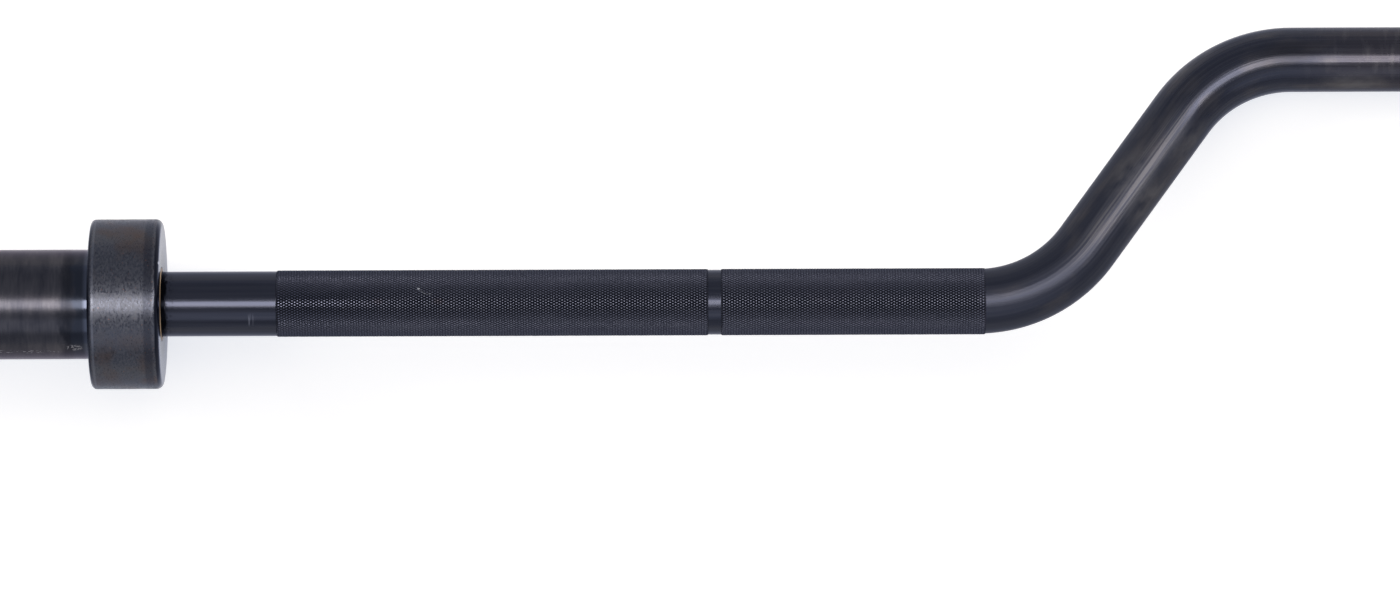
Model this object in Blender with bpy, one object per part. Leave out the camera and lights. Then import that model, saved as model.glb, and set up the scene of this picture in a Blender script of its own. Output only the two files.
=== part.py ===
"""Cambered barbell: one bent steel shaft, with a plate sleeve that turns on bronze bushings at each end.

The bar lies as it does on a floor. Both collars and the raised middle touch the ground plane at Z = 0, the
bar runs along X, and the camber reaches towards +Y. Sizes are in metres.
"""

import math

import bmesh
import bpy
from mathutils import Matrix, Vector

# Room between neighbouring pieces, and the distance within which points are one
GAP = 0.0003
MERGE_DISTANCE = 0.00001

# Flat sides round the pieces that show, and round those inside the sleeves
OUTER_SIDES = 40
INNER_SIDES = 32
OPEN_RING_STEPS = 28
BEND_STEPS = 9
FILLET_STEPS = 3

# Bent shaft
SHAFT_DIAMETER = 0.0296
KNURL_DIAMETER = 0.0303
KNURL_EDGE = 0.0004
COLLARS_APART = 1.3128
SMOOTH_NECK = 0.0512
RING_MARKS_APART = 0.810
RING_MARK_WIDTH = 0.006
CAMBER_DEPTH = 0.1128
CAMBER_TOP_WIDTH = 0.3437
CAMBER_ANGLE = math.radians(54.1)
BEND_RADIUS = 0.0618

# Shaft ends inside the sleeves
JOURNAL_DIAMETER = 0.025
SHOULDER_CHAMFER = 0.0005
SHAFT_END_CHAMFER = 0.001
SHAFT_END_LIP = 0.004
SHAFT_END_ROOM = 0.002
RETAINING_GROOVE_DEPTH = 0.001

# Sleeve tube, and the collar that stops the plates
SLEEVE_DIAMETER = 0.050
SLEEVE_BORE = 0.034
LOADABLE_LENGTH = 0.4112
SLEEVE_END_CHAMFER = 0.0015
COLLAR_DIAMETER = 0.0775
COLLAR_WIDTH = 0.0324
COLLAR_CHAMFER = 0.0024
COLLAR_LIP = 0.0025
COLLAR_FILLET = 0.0015
FILLET_EDGE = 0.0003

# Bushings and thrust washers
BUSHING_PROUD = 0.0006
COLLAR_BUSHING_LENGTH = 0.040
END_BUSHING_LENGTH = 0.030
BUSHING_CHAMFER = 0.0008
WASHER_THICKNESS = 0.002

# Rings and cap that close a sleeve
RETAINING_RING_THICKNESS = 0.0012
RETAINING_RING_WALL = 0.0026
RETAINING_RING_OPENING = math.radians(50)
RETAINING_LUG_HEIGHT = 0.0012
RETAINING_LUG_ANGLE = math.radians(24)
CAP_SEAT_DIAMETER = 0.040
CAP_THICKNESS = 0.005
CAP_CHAMFER = 0.0006
CAP_DISH_DIAMETER = 0.030
CAP_DISH_DEPTH = 0.001
SNAP_RING_THICKNESS = 0.0015
SNAP_RING_WALL = 0.0028
SNAP_RING_OPENING = math.radians(30)
SNAP_GROOVE_DEPTH = 0.0012
SLEEVE_END_RIM = 0.002

# Straight length that a bend takes from each side of its corner, and the corners' places
BEND_TANGENT = BEND_RADIUS * math.tan(CAMBER_ANGLE / 2)
SLOPE_LENGTH = CAMBER_DEPTH / math.sin(CAMBER_ANGLE)
UPPER_CORNER = CAMBER_TOP_WIDTH / 2
LOWER_CORNER = UPPER_CORNER + CAMBER_DEPTH / math.tan(CAMBER_ANGLE)

# Resting pose: the camber tips down until the raised middle meets the floor that the collars lie on
COLLAR_RADIUS = COLLAR_DIAMETER / 2
SHAFT_RADIUS = SHAFT_DIAMETER / 2
REST_TILT = math.asin((COLLAR_RADIUS - SHAFT_RADIUS) / CAMBER_DEPTH)
CAMBER_REACH = CAMBER_DEPTH * math.cos(REST_TILT) + SHAFT_RADIUS
AXIS_Y = (COLLAR_RADIUS - CAMBER_REACH) / 2
AXIS_Z = COLLAR_RADIUS

# Places along a sleeve, measured outwards from the inner face of its collar
INNER_FACE_X = COLLARS_APART / 2
SLEEVE_END = COLLAR_WIDTH + LOADABLE_LENGTH
SNAP_GROOVE_END = SLEEVE_END - SLEEVE_END_RIM
SNAP_GROOVE_START = SNAP_GROOVE_END - SNAP_RING_THICKNESS - 2 * GAP
CAP_OUTER_FACE = SNAP_GROOVE_START
CAP_INNER_FACE = CAP_OUTER_FACE - CAP_THICKNESS
CAP_SEAT = CAP_INNER_FACE - GAP
SHAFT_END = CAP_SEAT - SHAFT_END_ROOM
RETAINING_GROOVE_END = SHAFT_END - SHAFT_END_LIP
RETAINING_GROOVE_START = RETAINING_GROOVE_END - RETAINING_RING_THICKNESS - 2 * GAP
END_WASHER_START = RETAINING_GROOVE_START - WASHER_THICKNESS
END_BUSHING_START = END_WASHER_START - GAP - END_BUSHING_LENGTH
SHOULDER_WASHER_START = END_BUSHING_START - GAP - WASHER_THICKNESS
SHAFT_SHOULDER = SHOULDER_WASHER_START - GAP

# Radii that follow from the pieces' neighbours
KNURL_RADIUS = KNURL_DIAMETER / 2
JOURNAL_RADIUS = JOURNAL_DIAMETER / 2
RETAINING_GROOVE_RADIUS = JOURNAL_RADIUS - RETAINING_GROOVE_DEPTH
SLEEVE_RADIUS = SLEEVE_DIAMETER / 2
SLEEVE_BORE_RADIUS = SLEEVE_BORE / 2
CAP_SEAT_RADIUS = CAP_SEAT_DIAMETER / 2
SNAP_GROOVE_RADIUS = CAP_SEAT_RADIUS + SNAP_GROOVE_DEPTH
BUSHING_RADIUS = SLEEVE_BORE_RADIUS - GAP
JOURNAL_BORE_RADIUS = JOURNAL_RADIUS + GAP


def clear_scene():
    """Takes every object out of the scene."""
    for thing in list(bpy.data.objects):
        bpy.data.objects.remove(thing, do_unlink=True)


def metal(name, colour, roughness):
    """A Principled material of one metal finish, its colour in linear light."""
    material = bpy.data.materials.new(name)
    material.use_nodes = True
    shader = material.node_tree.nodes["Principled BSDF"]
    shader.inputs["Base Color"].default_value = (*colour, 1.0)
    shader.inputs["Roughness"].default_value = roughness
    shader.inputs["Metallic"].default_value = 1.0
    material.diffuse_color = (*colour, 1.0)
    return material


def add_object(name, shape, material, parent=None):
    """Turns a bmesh into a smooth-shaded object that keeps its sharp edges."""
    bmesh.ops.recalc_face_normals(shape, faces=shape.faces)
    mesh = bpy.data.meshes.new(name)
    shape.to_mesh(mesh)
    shape.free()
    mesh.shade_smooth()
    mesh.set_sharp_from_angle(angle=math.radians(30))
    mesh.materials.append(material)
    thing = bpy.data.objects.new(name, mesh)
    thing.parent = parent
    bpy.context.scene.collection.objects.link(thing)
    return thing


class RoundBar:
    """A round bar drawn along its own centre line in the XY plane, from an open ring onwards."""

    def __init__(self, centre, radius, sides):
        self.shape = bmesh.new()
        self.centre = Vector(centre)
        self.heading = Vector((1, 0, 0))
        self.radius = radius
        across = Matrix.Translation(self.centre) @ Matrix.Rotation(math.pi / 2, 4, "Y")
        bmesh.ops.create_circle(self.shape, segments=sides, radius=radius, matrix=across)
        self.verts = list(self.shape.verts)
        self.edges = list(self.shape.edges)

    def _reach(self, geometry):
        """Takes the newest ring of vertices and edges as the end that grows."""
        self.verts = [part for part in geometry if isinstance(part, bmesh.types.BMVert)]
        self.edges = [part for part in geometry if isinstance(part, bmesh.types.BMEdge)]

    def run(self, length, radius=None):
        """Goes straight on, and has the given radius at the far end."""
        grown = bmesh.ops.extrude_edge_only(self.shape, edges=self.edges)
        self._reach(grown["geom"])
        step = self.heading * length
        bmesh.ops.translate(self.shape, verts=self.verts, vec=step)
        self.centre += step
        if radius is not None:
            factor = radius / self.radius
            about = Matrix.Translation(-self.centre)
            bmesh.ops.scale(self.shape, verts=self.verts, vec=[factor] * 3, space=about)
            self.radius = radius

    def run_to(self, x, radius=None):
        """Goes straight on along X as far as the given place."""
        self.run(x - self.centre.x, radius)

    def step(self, radius):
        """Changes radius on the spot, which leaves a square shoulder."""
        self.run(0, radius)

    def bend(self, angle, bend_radius, steps):
        """Turns in the plane of the bar, to the left where the angle is positive."""
        left = Vector((-self.heading.y, self.heading.x, 0))
        pivot = self.centre + left * math.copysign(bend_radius, angle)
        grown = bmesh.ops.spin(
            self.shape,
            geom=self.verts + self.edges,
            cent=pivot,
            axis=(0, 0, 1),
            angle=angle,
            steps=steps,
        )
        self._reach(grown["geom_last"])
        turn = Matrix.Rotation(angle, 3, "Z")
        self.centre = pivot + turn @ (self.centre - pivot)
        self.heading = turn @ self.heading

    def close(self):
        """Caps the end that the bar has reached, and hands over its shape."""
        bmesh.ops.contextual_create(self.shape, geom=self.edges)
        return self.shape


def turned(outline, sides):
    """A solid of revolution about the X axis, from (place, radius) points.

    The outline closes on itself, or on the axis where its first and last points lie there.
    """
    shape = bmesh.new()
    corners = [shape.verts.new((place, 0, radius)) for place, radius in outline]
    pairs = list(zip(corners, corners[1:]))
    meets_axis = outline[0][1] == 0
    if not meets_axis:
        pairs.append((corners[-1], corners[0]))
    edges = [shape.edges.new(pair) for pair in pairs]
    bmesh.ops.spin(
        shape,
        geom=corners + edges,
        cent=(0, 0, 0),
        axis=(1, 0, 0),
        angle=2 * math.pi,
        steps=sides,
        use_merge=True,
    )
    if meets_axis:
        bmesh.ops.remove_doubles(shape, verts=shape.verts, dist=MERGE_DISTANCE)
    return shape


def washer(start, thickness, inner_radius, outer_radius):
    """A plain flat ring."""
    end = start + thickness
    return turned(
        [(start, inner_radius), (end, inner_radius), (end, outer_radius), (start, outer_radius)],
        INNER_SIDES,
    )


def open_ring(start, thickness, opening, radii_at):
    """A flat spring ring with a gap, its inner and outer radius given for each angle from the gap's middle."""
    shape = bmesh.new()
    swept = 2 * math.pi - opening
    rows = []
    for index in range(OPEN_RING_STEPS + 1):
        angle = opening / 2 + swept * index / OPEN_RING_STEPS
        across = Vector((0, math.sin(angle), math.cos(angle)))
        front = Vector((start, 0, 0))
        rows.append([shape.verts.new(front + across * radius) for radius in radii_at(angle)])
    for here, following in zip(rows, rows[1:]):
        shape.faces.new((here[0], here[1], following[1], following[0]))
    slab = bmesh.ops.extrude_face_region(shape, geom=list(shape.faces))
    far_side = [part for part in slab["geom"] if isinstance(part, bmesh.types.BMVert)]
    bmesh.ops.translate(shape, verts=far_side, vec=(thickness, 0, 0))
    return shape


def build_shaft(steel):
    """The one-piece shaft: half of it is drawn from the raised middle outwards, and mirrored."""
    half = RoundBar((0, CAMBER_DEPTH, 0), SHAFT_RADIUS, OUTER_SIDES)
    half.run(UPPER_CORNER - BEND_TANGENT)
    half.bend(-CAMBER_ANGLE, BEND_RADIUS, BEND_STEPS)
    half.run(SLOPE_LENGTH - 2 * BEND_TANGENT)
    half.bend(CAMBER_ANGLE, BEND_RADIUS, BEND_STEPS)

    # Two knurled grips with the smooth ring mark between them
    ring_mark = RING_MARKS_APART / 2
    grips = (
        (LOWER_CORNER + BEND_TANGENT, ring_mark - RING_MARK_WIDTH / 2),
        (ring_mark + RING_MARK_WIDTH / 2, INNER_FACE_X - SMOOTH_NECK),
    )
    for grip_start, grip_end in grips:
        half.run_to(grip_start)
        half.run_to(grip_start + KNURL_EDGE, KNURL_RADIUS)
        half.run_to(grip_end - KNURL_EDGE)
        half.run_to(grip_end, SHAFT_RADIUS)

    # Full diameter through the collar, then the turned-down journal with its ring groove
    shoulder = INNER_FACE_X + SHAFT_SHOULDER
    half.run_to(shoulder - SHOULDER_CHAMFER)
    half.run_to(shoulder, SHAFT_RADIUS - SHOULDER_CHAMFER)
    half.step(JOURNAL_RADIUS)
    half.run_to(INNER_FACE_X + RETAINING_GROOVE_START)
    half.step(RETAINING_GROOVE_RADIUS)
    half.run_to(INNER_FACE_X + RETAINING_GROOVE_END)
    half.step(JOURNAL_RADIUS)
    half.run_to(INNER_FACE_X + SHAFT_END - SHAFT_END_CHAMFER)
    half.run_to(INNER_FACE_X + SHAFT_END, JOURNAL_RADIUS - SHAFT_END_CHAMFER)

    shaft = add_object("shaft", half.close(), steel)
    mirror = shaft.modifiers.new("Other half", "MIRROR")
    mirror.use_axis = (True, False, False)
    mirror.merge_threshold = MERGE_DISTANCE
    shaft.location = (0, AXIS_Y, AXIS_Z)
    shaft.rotation_euler = (-REST_TILT, 0, 0)
    return shaft


def build_sleeve_tube(side, steel, axle):
    """The tube that the plates slide onto, with the seat and groove for its end cap."""
    start = COLLAR_LIP + GAP
    outline = [
        (start, SLEEVE_BORE_RADIUS),
        (CAP_SEAT, SLEEVE_BORE_RADIUS),
        (CAP_SEAT, CAP_SEAT_RADIUS),
        (SNAP_GROOVE_START, CAP_SEAT_RADIUS),
        (SNAP_GROOVE_START, SNAP_GROOVE_RADIUS),
        (SNAP_GROOVE_END, SNAP_GROOVE_RADIUS),
        (SNAP_GROOVE_END, CAP_SEAT_RADIUS),
        (SLEEVE_END, CAP_SEAT_RADIUS),
        (SLEEVE_END, SLEEVE_RADIUS - SLEEVE_END_CHAMFER),
        (SLEEVE_END - SLEEVE_END_CHAMFER, SLEEVE_RADIUS),
        (start, SLEEVE_RADIUS),
    ]
    return add_object(f"{side}_sleeve_tube", turned(outline, OUTER_SIDES), steel, axle)


def build_collar(side, steel, axle):
    """The shoulder collar: chamfered edges, a lip that holds the tube, and a fillet down to it."""
    bore = SLEEVE_RADIUS + GAP
    fillet_foot = bore + FILLET_EDGE
    outline = [
        (0, SLEEVE_BORE_RADIUS),
        (0, COLLAR_RADIUS - COLLAR_CHAMFER),
        (COLLAR_CHAMFER, COLLAR_RADIUS),
        (COLLAR_WIDTH - COLLAR_CHAMFER, COLLAR_RADIUS),
        (COLLAR_WIDTH, COLLAR_RADIUS - COLLAR_CHAMFER),
    ]
    for index in range(FILLET_STEPS + 1):
        angle = math.pi / 2 * index / FILLET_STEPS
        place = COLLAR_WIDTH + COLLAR_FILLET * (1 - math.cos(angle))
        radius = fillet_foot + COLLAR_FILLET * (1 - math.sin(angle))
        outline.append((place, radius))
    outline += [
        (COLLAR_WIDTH + COLLAR_FILLET, bore),
        (COLLAR_LIP, bore),
        (COLLAR_LIP, SLEEVE_BORE_RADIUS),
    ]
    return add_object(f"{side}_shoulder_collar", turned(outline, OUTER_SIDES), steel, axle)


def plain_bushing(start, length, bore):
    """A bronze tube that fits the sleeve's bore, chamfered outside at both ends."""
    end = start + length
    outline = [
        (start, bore),
        (end, bore),
        (end, BUSHING_RADIUS - BUSHING_CHAMFER),
        (end - BUSHING_CHAMFER, BUSHING_RADIUS),
        (start + BUSHING_CHAMFER, BUSHING_RADIUS),
        (start, BUSHING_RADIUS - BUSHING_CHAMFER),
    ]
    return turned(outline, INNER_SIDES)


def build_bushings(side, bronze, axle):
    """The bushing on the shaft's full diameter, which shows at the collar, and the one on its journal."""
    collar_bushing = plain_bushing(-BUSHING_PROUD, COLLAR_BUSHING_LENGTH, SHAFT_RADIUS + GAP)
    add_object(f"{side}_collar_bushing", collar_bushing, bronze, axle)
    end_bushing = plain_bushing(END_BUSHING_START, END_BUSHING_LENGTH, JOURNAL_BORE_RADIUS)
    add_object(f"{side}_end_bushing", end_bushing, bronze, axle)


def build_thrust_washers(side, bronze, mate):
    """The two loose washers on the journal: one against the shaft's shoulder, one under its ring."""
    for place_name, start in (("shoulder", SHOULDER_WASHER_START), ("end", END_WASHER_START)):
        ring = washer(start, WASHER_THICKNESS, JOURNAL_BORE_RADIUS, BUSHING_RADIUS)
        add_object(f"{side}_{place_name}_thrust_washer", ring, bronze, mate)


def build_retaining_ring(side, spring_steel, mate):
    """The spring ring in the shaft's groove that keeps the sleeve on, with a lug at each end."""
    inner = RETAINING_GROOVE_RADIUS + GAP
    outer = inner + RETAINING_RING_WALL

    def radii_at(angle):
        """Inner and outer radius, with more on the outside at the lugs."""
        from_end = min(angle, 2 * math.pi - angle) - RETAINING_RING_OPENING / 2
        lug_height = RETAINING_LUG_HEIGHT if from_end < RETAINING_LUG_ANGLE else 0
        return inner, outer + lug_height

    start = RETAINING_GROOVE_START + GAP
    ring = open_ring(start, RETAINING_RING_THICKNESS, RETAINING_RING_OPENING, radii_at)
    return add_object(f"{side}_shaft_retaining_ring", ring, spring_steel, mate)


def build_end_cap(side, steel, axle):
    """The dished cap that closes the sleeve's end."""
    radius = CAP_SEAT_RADIUS - GAP
    dish_radius = CAP_DISH_DIAMETER / 2
    dish_floor = CAP_OUTER_FACE - CAP_DISH_DEPTH
    outline = [
        (CAP_INNER_FACE, 0),
        (CAP_INNER_FACE, radius - CAP_CHAMFER),
        (CAP_INNER_FACE + CAP_CHAMFER, radius),
        (CAP_OUTER_FACE - CAP_CHAMFER, radius),
        (CAP_OUTER_FACE, radius - CAP_CHAMFER),
        (CAP_OUTER_FACE, dish_radius),
        (dish_floor, dish_radius - CAP_DISH_DEPTH),
        (dish_floor, 0),
    ]
    return add_object(f"{side}_end_cap", turned(outline, INNER_SIDES), steel, axle)


def build_snap_ring(side, spring_steel, axle):
    """The spring ring inside the sleeve's rim that holds the cap."""
    outer = SNAP_GROOVE_RADIUS - GAP
    inner = outer - SNAP_RING_WALL
    start = SNAP_GROOVE_START + GAP
    ring = open_ring(start, SNAP_RING_THICKNESS, SNAP_RING_OPENING, lambda angle: (inner, outer))
    return add_object(f"{side}_end_cap_snap_ring", ring, spring_steel, axle)


def end_marker(name, outward, height, parent=None):
    """An empty at a collar's inner face, on the given (Y, Z) line, its X axis pointing out of the bar's end."""
    marker = bpy.data.objects.new(name, None)
    marker.empty_display_size = COLLAR_RADIUS
    marker.parent = parent
    marker.location = (outward * INNER_FACE_X, *height)
    marker.rotation_euler = (0, 0, 0 if outward > 0 else math.pi)
    bpy.context.scene.collection.objects.link(marker)
    return marker


def build_bar():
    """The whole bar: the shaft first, then what each end carries."""
    oxide_steel = metal("black oxide steel", (0.026, 0.028, 0.038), 0.32)
    collar_steel = metal("black oxide collar steel", (0.034, 0.035, 0.043), 0.45)
    bronze = metal("sintered bronze", (0.34, 0.22, 0.12), 0.4)
    spring_steel = metal("phosphated spring steel", (0.05, 0.05, 0.05), 0.5)

    shaft = build_shaft(oxide_steel)
    for side, outward in (("left", -1), ("right", 1)):
        axle = end_marker(f"{side}_sleeve_axis", outward, (AXIS_Y, AXIS_Z))
        mate = end_marker(f"{side}_journal_axis", outward, (0, 0), shaft)
        build_sleeve_tube(side, oxide_steel, axle)
        build_collar(side, collar_steel, axle)
        build_bushings(side, bronze, axle)
        build_thrust_washers(side, bronze, mate)
        build_retaining_ring(side, spring_steel, mate)
        build_end_cap(side, oxide_steel, axle)
        build_snap_ring(side, spring_steel, axle)


clear_scene()
build_bar()
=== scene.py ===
"""Looks of the cambered bar: a bent, knurled shaft in black oxide, with a turned sleeve at each end.

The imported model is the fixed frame, and every piece here rides on one of its bodies. Sizes are in metres,
and those of surface patterns in millimetres. The bar lies along X on a floor at Z = 0, and its camber
reaches towards +Y and dips down until the middle touches the floor.
"""

from __future__ import annotations

import logging
import math
from collections.abc import Iterable
from dataclasses import dataclass, field
from enum import Enum
from typing import Any, NamedTuple

import bpy
from mathutils import Matrix, Vector, noise

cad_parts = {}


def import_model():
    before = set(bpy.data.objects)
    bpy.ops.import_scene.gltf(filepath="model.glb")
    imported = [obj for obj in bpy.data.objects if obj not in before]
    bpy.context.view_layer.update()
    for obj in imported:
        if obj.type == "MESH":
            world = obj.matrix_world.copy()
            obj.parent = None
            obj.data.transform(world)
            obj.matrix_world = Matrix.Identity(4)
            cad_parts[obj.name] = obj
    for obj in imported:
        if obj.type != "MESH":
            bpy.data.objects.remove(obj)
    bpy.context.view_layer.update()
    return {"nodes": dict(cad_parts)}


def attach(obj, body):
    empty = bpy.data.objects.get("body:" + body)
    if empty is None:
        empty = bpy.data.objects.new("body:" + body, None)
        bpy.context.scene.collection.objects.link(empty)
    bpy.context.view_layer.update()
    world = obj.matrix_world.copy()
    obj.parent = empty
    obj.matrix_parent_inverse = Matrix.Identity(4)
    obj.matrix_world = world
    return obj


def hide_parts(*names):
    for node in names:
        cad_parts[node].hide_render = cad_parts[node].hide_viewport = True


LOG = logging.getLogger("cambered_bar")
MM = 0.001

# An edge that turns by more than the first angle is broken, and shading stays smooth up to the second
SHARP_FROM = math.radians(28)
SMOOTH_UP_TO = math.radians(40)

Tree = bpy.types.NodeTree
Node = bpy.types.Node
Socket = bpy.types.NodeSocket
Piece = bpy.types.Object
Triple = tuple[float, float, float]
Span = tuple[float, float]
Band = tuple[float, float, float, float]
ORIGIN = Vector((0, 0, 0))


class Side(Enum):
    """The two ends of the bar, by the way that leads out of each along X."""

    LEFT = -1
    RIGHT = 1

    @property
    def label(self) -> str:
        """The word that the end's pieces start with."""
        return self.name.lower()


class Body(Enum):
    """What the pieces ride on."""

    SHAFT = "bent_shaft"
    LEFT_SLEEVE = "left_sleeve"
    RIGHT_SLEEVE = "right_sleeve"

    @classmethod
    def sleeve(cls, side: Side) -> Body:
        """The turning sleeve at one end."""
        return cls.LEFT_SLEEVE if side is Side.LEFT else cls.RIGHT_SLEEVE


class Slot(Enum):
    """The record's material slots."""

    OXIDE = "black_oxide_steel"
    COLLAR_OXIDE = "black_oxide_collar_steel"
    BRONZE = "bronze"
    SPRING = "spring_steel"


@dataclass(frozen=True)
class BarLayout:
    """Sizes that several pieces share, and the place of the axis that both sleeves turn on."""

    collars_apart: float = 1.3128
    collar_radius: float = 0.03875
    collar_width: float = 0.0324
    smooth_neck: float = 0.0520
    shaft_radius: float = 0.0148
    camber_depth: float = 0.1128
    gap: float = 0.0003

    @property
    def inner_face(self) -> float:
        """Distance from the middle of the bar to the inner face of a collar."""
        return self.collars_apart / 2

    @property
    def tilt(self) -> float:
        """Angle by which the camber dips towards the floor."""
        return math.asin((self.collar_radius - self.shaft_radius) / self.camber_depth)

    @property
    def axis(self) -> Vector:
        """The point of the sleeves' axis that is level with the middle of the bar."""
        reach = self.camber_depth * math.cos(self.tilt) + self.shaft_radius
        return Vector((0.0, (self.collar_radius - reach) / 2, self.collar_radius))


LAYOUT = BarLayout()


@dataclass(frozen=True)
class CamberLine:
    """The shaft's centre line in its own plane: X along the bar, Y in the direction of the camber."""

    depth: float = LAYOUT.camber_depth
    top_width: float = 0.3437
    angle: float = math.radians(54.1)
    bend_radius: float = 0.0618

    @property
    def tangent(self) -> float:
        """Straight length that a bend takes from each side of its corner."""
        return self.bend_radius * math.tan(self.angle / 2)

    @property
    def top_run(self) -> float:
        """Straight length from the middle of the raised part to its bend."""
        return self.top_width / 2 - self.tangent

    @property
    def slope_run(self) -> float:
        """Straight length of a slope between its two bends."""
        return self.depth / math.sin(self.angle) - 2 * self.tangent

    @property
    def foot(self) -> float:
        """Place along X where the lower bend ends and the straight grip begins."""
        return self.top_width / 2 + self.depth / math.tan(self.angle) + self.tangent

    def unbend(self, point: Vector) -> Vector:
        """Finds where a point of the shaft would lie if the shaft were straight.

        Args:
            point: A point near the centre line, in the line's own frame.

        Returns:
            Distance along the line from its middle, and the two offsets from the line.
        """
        sign = -1.0 if point.x < 0 else 1.0
        here = Vector((abs(point.x), point.y))
        arc = self.bend_radius * self.angle
        if here.x <= self.top_run:
            return Vector((sign * here.x, here.y - self.depth, point.z))
        upper_pivot = Vector((self.top_run, self.depth - self.bend_radius))
        swing = here - upper_pivot
        turned = math.atan2(swing.x, swing.y)
        if turned <= self.angle:
            along = self.top_run + self.bend_radius * turned
            return Vector((sign * along, swing.length - self.bend_radius, point.z))
        down = Vector((math.cos(self.angle), -math.sin(self.angle)))
        outward = Vector((math.sin(self.angle), math.cos(self.angle)))
        from_start = here - upper_pivot - outward * self.bend_radius
        travelled = from_start.dot(down)
        if travelled <= self.slope_run:
            along = self.top_run + arc + travelled
            return Vector((sign * along, from_start.dot(outward), point.z))
        swing = Vector((self.foot, self.bend_radius)) - here
        left = math.atan2(swing.x, swing.y)
        if left > 0:
            along = self.top_run + arc + self.slope_run + self.bend_radius * (self.angle - left)
            return Vector((sign * along, self.bend_radius - swing.length, point.z))
        along = self.top_run + 2 * arc + self.slope_run + here.x - self.foot
        return Vector((sign * along, here.y, point.z))


def choose(piece: Piece) -> None:
    """Makes one object the only selected and the active one."""
    bpy.ops.object.select_all(action="DESELECT")
    piece.select_set(True)
    bpy.context.view_layer.objects.active = piece


def rename(piece: Piece, name: str) -> None:
    """Gives an object and its mesh one name."""
    piece.name = name
    piece.data.name = name


def apply_modifier(piece: Piece, kind: str, settings: dict[str, Any]) -> None:
    """Puts one modifier on a piece and applies it.

    Args:
        piece: The mesh object.
        kind: Blender's name for the modifier type.
        settings: Values to set on it.
    """
    choose(piece)
    modifier = piece.modifiers.new(kind.lower(), kind)
    for key, value in settings.items():
        setattr(modifier, key, value)
    bpy.ops.object.modifier_apply(modifier=modifier.name)


def weight_shading(piece: Piece) -> None:
    """Weights shading by face area, so that a narrow edge break doesn't bend a wide face's shading."""
    apply_modifier(piece, "WEIGHTED_NORMAL", {"keep_sharp": True, "weight": 50})


def place_piece(piece: Piece, location: Vector, rotation: Triple = (0, 0, 0)) -> None:
    """Turns and moves a piece, and keeps that in its mesh.

    Args:
        piece: The mesh object.
        location: Where its own origin goes.
        rotation: Euler angles to turn it by first.
    """
    choose(piece)
    piece.location = location
    piece.rotation_euler = rotation
    bpy.ops.object.transform_apply(location=True, rotation=True, scale=True)


def opposite_copy(piece: Piece, name: str) -> Piece:
    """Copies a piece to the other half of the bar, turned end for end, with a mesh of its own.

    Args:
        piece: The mesh object.
        name: Name of the copy.

    Returns:
        The copy, turned half way round about the upright line through the middle of the sleeves' axis.
    """
    twin = piece.copy()
    twin.data = piece.data.copy()
    rename(twin, name)
    bpy.context.scene.collection.objects.link(twin)
    axis = LAYOUT.axis
    about = Matrix.Translation(axis) @ Matrix.Rotation(math.pi, 4, "Z") @ Matrix.Translation(-axis)
    twin.data.transform(about)
    return twin


def start_editing() -> None:
    """Opens the active piece's mesh with all of it selected."""
    bpy.ops.object.mode_set(mode="EDIT")
    bpy.ops.mesh.select_all(action="SELECT")


def select_open_edges() -> None:
    """Selects the edges of the open mesh that only one face meets."""
    bpy.ops.mesh.select_mode(type="EDGE")
    bpy.ops.mesh.select_all(action="DESELECT")
    bpy.ops.mesh.select_non_manifold(extend=False, use_wire=False, use_multi_face=False, use_verts=False)


def break_edges(width: float) -> None:
    """Breaks every sharp edge of the open mesh.

    Args:
        width: Width that the break takes from each face.
    """
    bpy.ops.mesh.select_mode(type="EDGE")
    bpy.ops.mesh.select_all(action="DESELECT")
    bpy.ops.mesh.edges_select_sharp(sharpness=SHARP_FROM)
    bpy.ops.mesh.bevel(offset=width, segments=2, affect="EDGES", clamp_overlap=True)


def end_editing() -> None:
    """Turns the faces of the open mesh outwards and closes it."""
    bpy.ops.mesh.select_all(action="SELECT")
    bpy.ops.mesh.normals_make_consistent(inside=False)
    bpy.ops.object.mode_set(mode="OBJECT")


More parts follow.
